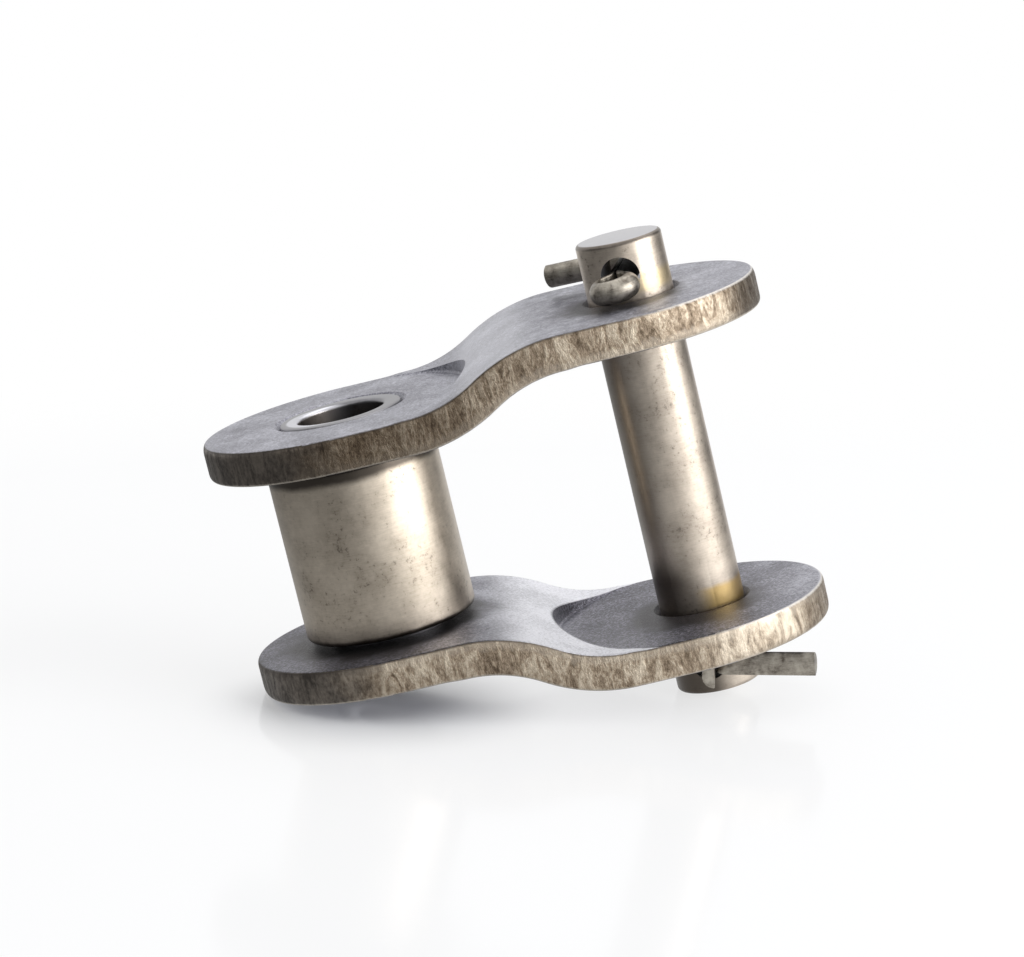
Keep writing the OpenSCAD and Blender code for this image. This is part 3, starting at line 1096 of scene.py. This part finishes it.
def softLamp(name, place, size, power):
    deselectAll()
    bpy.ops.object.light_add(type="AREA", location=place)
    lamp = bpy.context.active_object
    lamp.name = name
    lamp.data.shape = "RECTANGLE"
    lamp.data.size, lamp.data.size_y = size
    lamp.data.energy = power
    aim = Vector(studio["aim"]) - lamp.location
    lamp.rotation_euler = aim.to_track_quat("-Z", "Y").to_euler()


def seenDirectly(tree):
    # rays from the camera, and those that metal and glass send on
    path = addNode(tree, "ShaderNodeLightPath")
    seen = math2(tree, "MAXIMUM", path.outputs["Is Camera Ray"], path.outputs["Is Glossy Ray"])
    return math2(tree, "MAXIMUM", seen, path.outputs["Is Transmission Ray"])


def mixShaders(tree, factor, first, second, output):
    both = addNode(tree, "ShaderNodeMixShader", {0: factor})
    tree.links.new(first.outputs[0], both.inputs[1])
    tree.links.new(second.outputs[0], both.inputs[2])
    tree.links.new(both.outputs[0], tree.nodes[output].inputs["Surface"])


def floorMaterial():
    # the floor fades to white away from the part, and keeps its shadow
    material, tree, shader = startMaterial("floorWhite")
    shader.inputs["Base Color"].default_value = (*studio["floorColour"], 1)
    shader.inputs["Roughness"].default_value = studio["floorRoughness"]
    shader.inputs["Specular IOR Level"].default_value = studio["floorGloss"]
    coords = addNode(tree, "ShaderNodeTexCoord").outputs["Object"]
    far = addNode(tree, "ShaderNodeVectorMath", {0: coords}, operation="LENGTH").outputs["Value"]
    contact = addNode(
        tree, "ShaderNodeVectorMath", {0: coords, 1: studio["contact"]}, operation="DISTANCE"
    ).outputs["Value"]
    fade = math2(
        tree, "MAXIMUM", between(tree, far, *studio["floorFade"]),
        between(tree, contact, *studio["contactFade"]),
    )
    glow = addNode(tree, "ShaderNodeEmission", {"Color": (1, 1, 1, 1), "Strength": 1.0})
    mixShaders(tree, product(tree, fade, seenDirectly(tree)), shader, glow, "Material Output")
    return material


def glossyCard(name, place, size, turn, tone, rightTone):
    # a dark flag or a bright card, one-sided, shown in the polished steel only
    deselectAll()
    bpy.ops.mesh.primitive_plane_add(size=1)
    flag = bpy.context.active_object
    flag.name = name
    flag.scale = (*size, 1)
    flag.rotation_euler = [math.radians(a) for a in turn]
    flag.location = place
    material, tree, shader = startMaterial(name + "Paint")
    tree.nodes.remove(shader)
    coords = addNode(tree, "ShaderNodeTexCoord").outputs["Object"]
    strength = between(tree, axisValue(tree, coords, 0), *studio["cardFade"], tone, rightTone)
    glow = addNode(tree, "ShaderNodeEmission", {"Color": studio["cardColour"], "Strength": strength})
    clear = addNode(tree, "ShaderNodeBsdfTransparent")
    behind = addNode(tree, "ShaderNodeNewGeometry").outputs["Backfacing"]
    mixShaders(tree, behind, glow, clear, "Material Output")
    flag.data.materials.append(material)
    flag.visible_camera = False
    flag.visible_diffuse = False
    flag.visible_shadow = False
    flag.visible_transmission = False


deselectAll()
bpy.ops.mesh.primitive_plane_add(size=studio["floor"])
floor = bpy.context.active_object
floor.name = "studioFloor"
floor.data.materials.append(floorMaterial())
for name, flag in studio["flags"].items():
    glossyCard(name, *flag, studio["flagTone"], studio["flagRightTone"])
glossyCard("floorCard", *studio["floorCard"], studio["cardTone"], studio["cardRightTone"])
for name, lamp in studio["lamps"].items():
    softLamp(name, *lamp)

world = bpy.data.worlds.new("studioWorld")
bpy.context.scene.world = world
world.use_nodes = True
worldTree = world.node_tree
plain = worldTree.nodes["Background"]
plain.inputs["Color"].default_value = studio["worldColour"]
plain.inputs["Strength"].default_value = studio["world"]
white = addNode(worldTree, "ShaderNodeBackground", {"Color": (1, 1, 1, 1), "Strength": 1.0})
mixShaders(worldTree, seenDirectly(worldTree), plain, white, "World Output")
print("floor and light set")

deselectAll()
